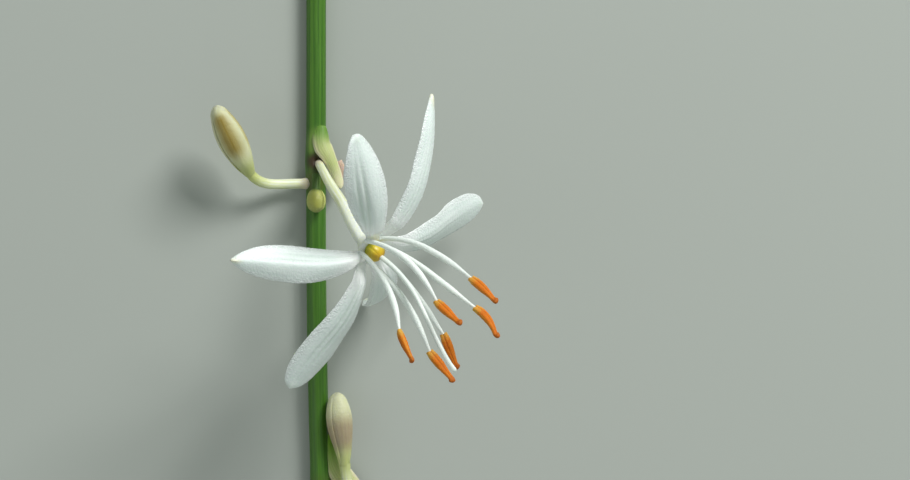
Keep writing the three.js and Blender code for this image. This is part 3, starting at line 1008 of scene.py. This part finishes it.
# For each filament: how far from the flower's axis it stands and at which azimuth, its lifts and turns at
# evenly spaced places, and its length. Then for its anther: its headings in plan at its root and at its
# tip, its lift, how far its very end hooks round, and how far it is rolled about its own length.
STAMENS = [
    (0.81, 18.4, (50.7, 78.3, 88.1), (2.6, -27.4, -16.8), 7.1, (-38, -48), 28, 45, -40),
    (1.12, 80.7, (60, 86.8, 127.3), (-41, -41, -26.5), 6.7, (-44, -42), 34, 55, -35),
    (0.92, 129.5, (89.2, 68.9, 54.6), (-0.6, 17.7, 25.8), 6.8, (-68, -62), 34, -30, 70),
    (0.81, 208.3, (96.6, 73.9, 51.1), (15.9, 8.1, 13.5), 7.2, (-51, -50), 14, -30, -30),
    (0.81, 266.3, (44.4, 69.7, 72.9), (17, -28.5, -51.2), 6.4, (-68, -68), 20, 25, 10),
    (0.81, 317.6, (64.7, 81.6, 78.9), (4.1, -23.3, -18.4), 7.1, (-32, -72), 14, 95, -50),
]
ANTHER_LENGTH = 2.3
ANTHER_WIDTH = 0.56
ANTHER_DEPTH = 0.42
ANTHER_FURROW_DEPTH = 0.2
ANTHER_BACKWARD_LOBES = 0.1
ANTHER_TIP_ROUNDING = 0.05
FILAMENT_WHITE = (0.84, 0.89, 0.84)
FILAMENT_SHADE = (0.66, 0.74, 0.68)
ANTHER_ORANGE = (0.7, 0.19, 0.001)
# Ochre for the anther's paler root, and for the painted highlight along its rims.
ANTHER_OCHRE_AND_HIGHLIGHT = (0.66, 0.4, 0.06)
ANTHER_FURROW = (0.42, 0.095, 0.001)
ANTHER_KNOB = (0.4, 0.1, 0.006)


def filament_line(radius, azimuth, lift, turn, length, at):
    """The filament's line in the flower's frame, brought into the part's frame."""
    return in_flower(from_flower(azimuth, turn, lift, length, radius, FILAMENT_ROOT_HEIGHT, at))


def filament_skin(stands, seed):
    """A rod that swells from root to belly and shrinks from belly to neck as smooth steps, with a grain that
    fades in from its root.
    """
    at = np.linspace(-0.02, 1.01, 190)
    sides = 30
    s, angle = at[:, None], ring(sides)
    size = FILAMENT_DIAMETERS
    swell = (size["belly"] - size["root"]) * smoothstep(s, 0, FILAMENT_BELLY_AT)
    shrink = (size["neck"] - size["belly"]) * smoothstep(s, FILAMENT_BELLY_AT, 1)
    bumps = 0.009 * grain(len(at), sides, seed) * smoothstep(s, 0.1, 0.4)
    length = stands[-1]
    return rod(filament_line(*stands, at), angle, (size["root"] + swell + shrink) / 2 + bumps, s * length)


def anther_skin(root, heading, lift, hook, roll, seed):
    """Across is half the width times u = cos(angle). Out is half the depth times the flat face, pulled in by
    the furrow, a bell curve of u. Both widen a little from the root, shrink to the neck as smooth steps and
    swell at the knob as a bell curve, and a grain crumples them. The two root lobes reach back as the size
    of u. Surface is the furrow, the face and the length.
    """
    at = rows_to_tip(0, 84, ANTHER_TIP_ROUNDING)
    sides = 56
    s, angle = at[:, None], ring(sides)
    headings = [*np.linspace(heading[0], heading[1], 6), heading[1] + hook]
    line = bent_line(root, headings, [lift, lift], ANTHER_LENGTH, at)
    body = 0.8 + 0.2 * smoothstep(s, 0, 0.15) - 0.44 * smoothstep(s, 0.3, 0.88)
    knob = 0.13 * np.exp(-(((s - 0.94) / 0.06) ** 2))
    crumple = 1 + 0.05 * grain(len(at), sides, seed)
    size = (body + knob) * closing(s, ANTHER_TIP_ROUNDING) * crumple
    u, face = np.cos(angle), flat_faces(angle, 0.7)
    furrow = np.exp(-((u / 0.2) ** 2)) * (1 - smoothstep(s, 0.82, 0.95))
    across = size * ANTHER_WIDTH / 2 * u
    out = size * ANTHER_DEPTH / 2 * (1 - ANTHER_FURROW_DEPTH * furrow) * face
    back = ANTHER_BACKWARD_LOBES * np.abs(u) * (1 - smoothstep(s, 0, 0.16))
    points = rolled(line, across, out, roll) - back[..., None] * line.along[:, None]
    return Skin(points, stacked(furrow, face, s * ANTHER_LENGTH))


def filament_material():
    made, place, surface = new_material("filament_white")
    clouds = surface.stretch(2.0, 2.0, 0.8).noise(1.0, 3.0)
    bumps = place.cells(15.0)
    colour = (clouds.rise(0.35, 0.75) * 0.5 + bumps * 0.3).colour(FILAMENT_WHITE, FILAMENT_SHADE)
    place.finish(
        colour,
        roughness=0.34 + 0.25 * clouds,
        height=1 - bumps,
        relief=0.02,
        flesh=(0.5, (1.0, 1.0, 1.0), 0.25),
    )
    return made


def anther_material():
    made, place, surface = new_material("anther_orange_pollen")
    deep, face, along = surface.split()
    clouds = place.noise(2.4, 3.0)
    pollen = place.cells(22.0)
    colour = (clouds.rise(0.4, 0.8) * 0.35 + pollen * 0.3).colour(ANTHER_ORANGE, ANTHER_FURROW)
    # Ochre near the root is the anther's own paler colour. Along both rims it is a painted highlight.
    ochre = (1 - along.rise(0.05, 0.6)) * 0.85 + (1 - face.size().rise(0.2, 0.5)) * 0.4
    colour = (ochre * (0.5 + 0.6 * clouds)).colour(colour, ANTHER_OCHRE_AND_HIGHLIGHT)
    colour = (deep.rise(0.3, 0.95) * 0.6).colour(colour, ANTHER_FURROW)
    colour = (along.rise(1.85, 2.15) * 0.8).colour(colour, ANTHER_KNOB)
    place.finish(
        colour,
        roughness=0.5 + 0.2 * clouds,
        height=1 - pollen,
        relief=0.018,
        flesh=(0.2, (1.0, 0.4, 0.1), 0.15),
        constants={"Specular IOR Level": 0.3},
    )
    return made


filament_white = filament_material()
anther_orange = anther_material()
for number, (*stands, heading, anther_lift, hook, roll) in enumerate(STAMENS, 1):
    filament = piece(f"filament_{number}_bumpy", [filament_skin(stands, number)], filament_white)
    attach(filament, "root")
    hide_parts(f"filament_{number}")
    root = filament_line(*stands, np.array([0.0, 1.0])).place[-1]
    lobes = anther_skin(root, heading, anther_lift, hook, roll, number)
    anther = piece(f"anther_{number}_hooked", [lobes], anther_orange)
    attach(anther, "root")
    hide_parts(f"anther_{number}")


# ---- Ovary and style ----
# The ovary is a moist, olive-yellow button of three lobes with a seam down each, set in the receptacle.
# From its middle the style stands out, a thin smooth white stalk with a blunt, slightly bent stigma.

OVARY_FOOT = (0, 0.08, -0.75)
OVARY_HEIGHT = 1.36
OVARY_RADIUS = 0.6
OVARY_LOBING = 0.08
OVARY_SEAM = 0.07
OVARY_OLIVE = (0.62, 0.49, 0.015)
OVARY_GREEN = (0.4, 0.42, 0.012)
OVARY_OCHRE = (0.62, 0.33, 0.008)
STYLE_START = 0.56
STYLE_AZIMUTH = -180.3
STYLE_LIFT = (95.8, 69.5, 51.7)
STYLE_TURN = (0, -5.4, 31.5, 71.7)
STYLE_LENGTH = 8.9
STYLE_DIAMETER = 0.29
STYLE_TIP_ROUNDING = 0.02


def ovary_skin():
    """A ring's radius is the button's rounded outline times a cosine that makes three lobes, less a bell
    curve down the seam in each lobe's middle. Surface z is the share of its height.
    """
    at = 0.5 - 0.5 * np.cos(np.pi * np.linspace(0.03, 0.97, 60))
    line = in_flower(bent_line(OVARY_FOOT, [0, 0], [90, 90], OVARY_HEIGHT, at))
    s, angle = at[:, None], ring(120)
    outline = np.sqrt(1 - np.abs(2 * s - 1) ** 2.4)
    from_seam = np.abs((angle * 3 / (2 * np.pi) + 0.5) % 1 - 0.5)
    seam = OVARY_SEAM * np.exp(-((from_seam / 0.05) ** 2))
    radius = OVARY_RADIUS * outline * (1 + OVARY_LOBING * np.cos(3 * angle) - seam)
    return rod(line, angle, radius, s)


def ovary_material():
    made, place, surface = new_material("ovary_olive_moist")
    _, _, height = surface.split()
    clouds = place.noise(2.2, 3.0)
    ripeness = height + 0.3 * clouds
    colour = ripeness.rise(0.5, 0.85).colour(OVARY_GREEN, OVARY_OLIVE)
    colour = ripeness.rise(0.8, 1.3).colour(colour, OVARY_OCHRE)
    place.finish(
        colour,
        roughness=0.3 + 0.15 * clouds,
        height=1 - place.cells(14.0),
        relief=0.008,
        flesh=(0.3, (1.0, 0.9, 0.2), 0.2),
        constants={"Coat Weight": 0.2, "Coat Roughness": 0.35},
    )
    return made


def style_skin():
    """A rod that tapers a little from its foot as a smooth step and swells again to a rounded stigma."""
    at = rows_to_tip(-0.01, 170, STYLE_TIP_ROUNDING)
    s, angle = at[:, None], ring(28)
    line = in_flower(from_flower(STYLE_AZIMUTH, STYLE_TURN, STYLE_LIFT, STYLE_LENGTH, 0, STYLE_START, at))
    size = 1.08 - 0.14 * smoothstep(s, 0, 0.5) + 0.14 * smoothstep(s, 0.93, 0.98)
    radius = STYLE_DIAMETER / 2 * size * closing(s, STYLE_TIP_ROUNDING)
    return rod(line, angle, radius, s * STYLE_LENGTH)


def style_material():
    made, place, surface = new_material("style_smooth_white")
    clouds = surface.stretch(1.5, 1.5, 0.6).noise(1.0, 3.0)
    place.finish(
        clouds.rise(0.3, 0.8).colour(FILAMENT_WHITE, FILAMENT_SHADE),
        roughness=0.26 + 0.1 * clouds,
        height=surface.stretch(12.0, 12.0, 3.0).cells(1.0),
        relief=0.004,
        flesh=(0.5, (1.0, 1.0, 1.0), 0.2),
    )
    return made


ovary = piece("ovary_three_lobed", [ovary_skin()], ovary_material())
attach(ovary, "root")
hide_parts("ovary")
style = piece("style_with_stigma", [style_skin()], style_material())
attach(style, "root")
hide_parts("style")


# ---- Floor, light and camera ----
# The sprig lies on a plain pale floor under soft studio light, brightest from the upper right. The camera
# looks straight down on it.

FLOOR_HALF = 900.0
FLOOR_HEIGHT = -0.02
FLOOR_COLOUR = (0.4, 0.43, 0.39)
CAMERA_PLACE = (8.52, -3.68, 309.6)
CAMERA_LENS = 199.4
# Each light's place, the size of its square, and its power in watts.
LIGHTS = [
    ((190, 240, 200), 130, 1.36),
    ((-300, -120, 260), 300, 0.18),
    ((120, -320, 200), 300, 0.1),
]
AIR_COLOUR = (0.75, 0.82, 0.8, 1)
AIR_STRENGTH = 0.41

corners = np.array([(-1, -1, 0), (1, -1, 0), (1, 1, 0), (-1, 1, 0)]) * FLOOR_HALF + [0, 0, FLOOR_HEIGHT]
floor_mesh = bpy.data.meshes.new("floor")
floor_mesh.from_pydata(corners * MM, [], [(0, 1, 2, 3)])
floor = bpy.data.objects.new("floor", floor_mesh)
bpy.context.scene.collection.objects.link(floor)
floor_paint = bpy.data.materials.new("floor_pale")
floor_paint.use_nodes = True
floor_shader = floor_paint.node_tree.nodes["Principled BSDF"]
floor_shader.inputs["Base Color"].default_value = (*FLOOR_COLOUR, 1)
floor_shader.inputs["Roughness"].default_value = 0.9
floor_mesh.materials.append(floor_paint)

for number, (place, size, power) in enumerate(LIGHTS, 1):
    lamp = bpy.data.lights.new(f"soft_light_{number}", "AREA")
    lamp.size = size * MM
    lamp.energy = power
    light = bpy.data.objects.new(lamp.name, lamp)
    light.location = [value * MM for value in place]
    light.rotation_mode = "QUATERNION"
    light.rotation_quaternion = light.location.to_track_quat("Z", "Y")
    bpy.context.scene.collection.objects.link(light)

world = bpy.data.worlds.new("soft_air")
world.use_nodes = True
world.node_tree.nodes["Background"].inputs["Color"].default_value = AIR_COLOUR
world.node_tree.nodes["Background"].inputs["Strength"].default_value = AIR_STRENGTH
bpy.context.scene.world = world

lens = bpy.data.cameras.new("camera")
lens.lens = CAMERA_LENS
lens.clip_start = 0.01
camera = bpy.data.objects.new("camera", lens)
camera.location = [value * MM for value in CAMERA_PLACE]
bpy.context.scene.collection.objects.link(camera)
bpy.context.scene.camera = camera
bpy.context.scene.view_settings.view_transform = "Standard"
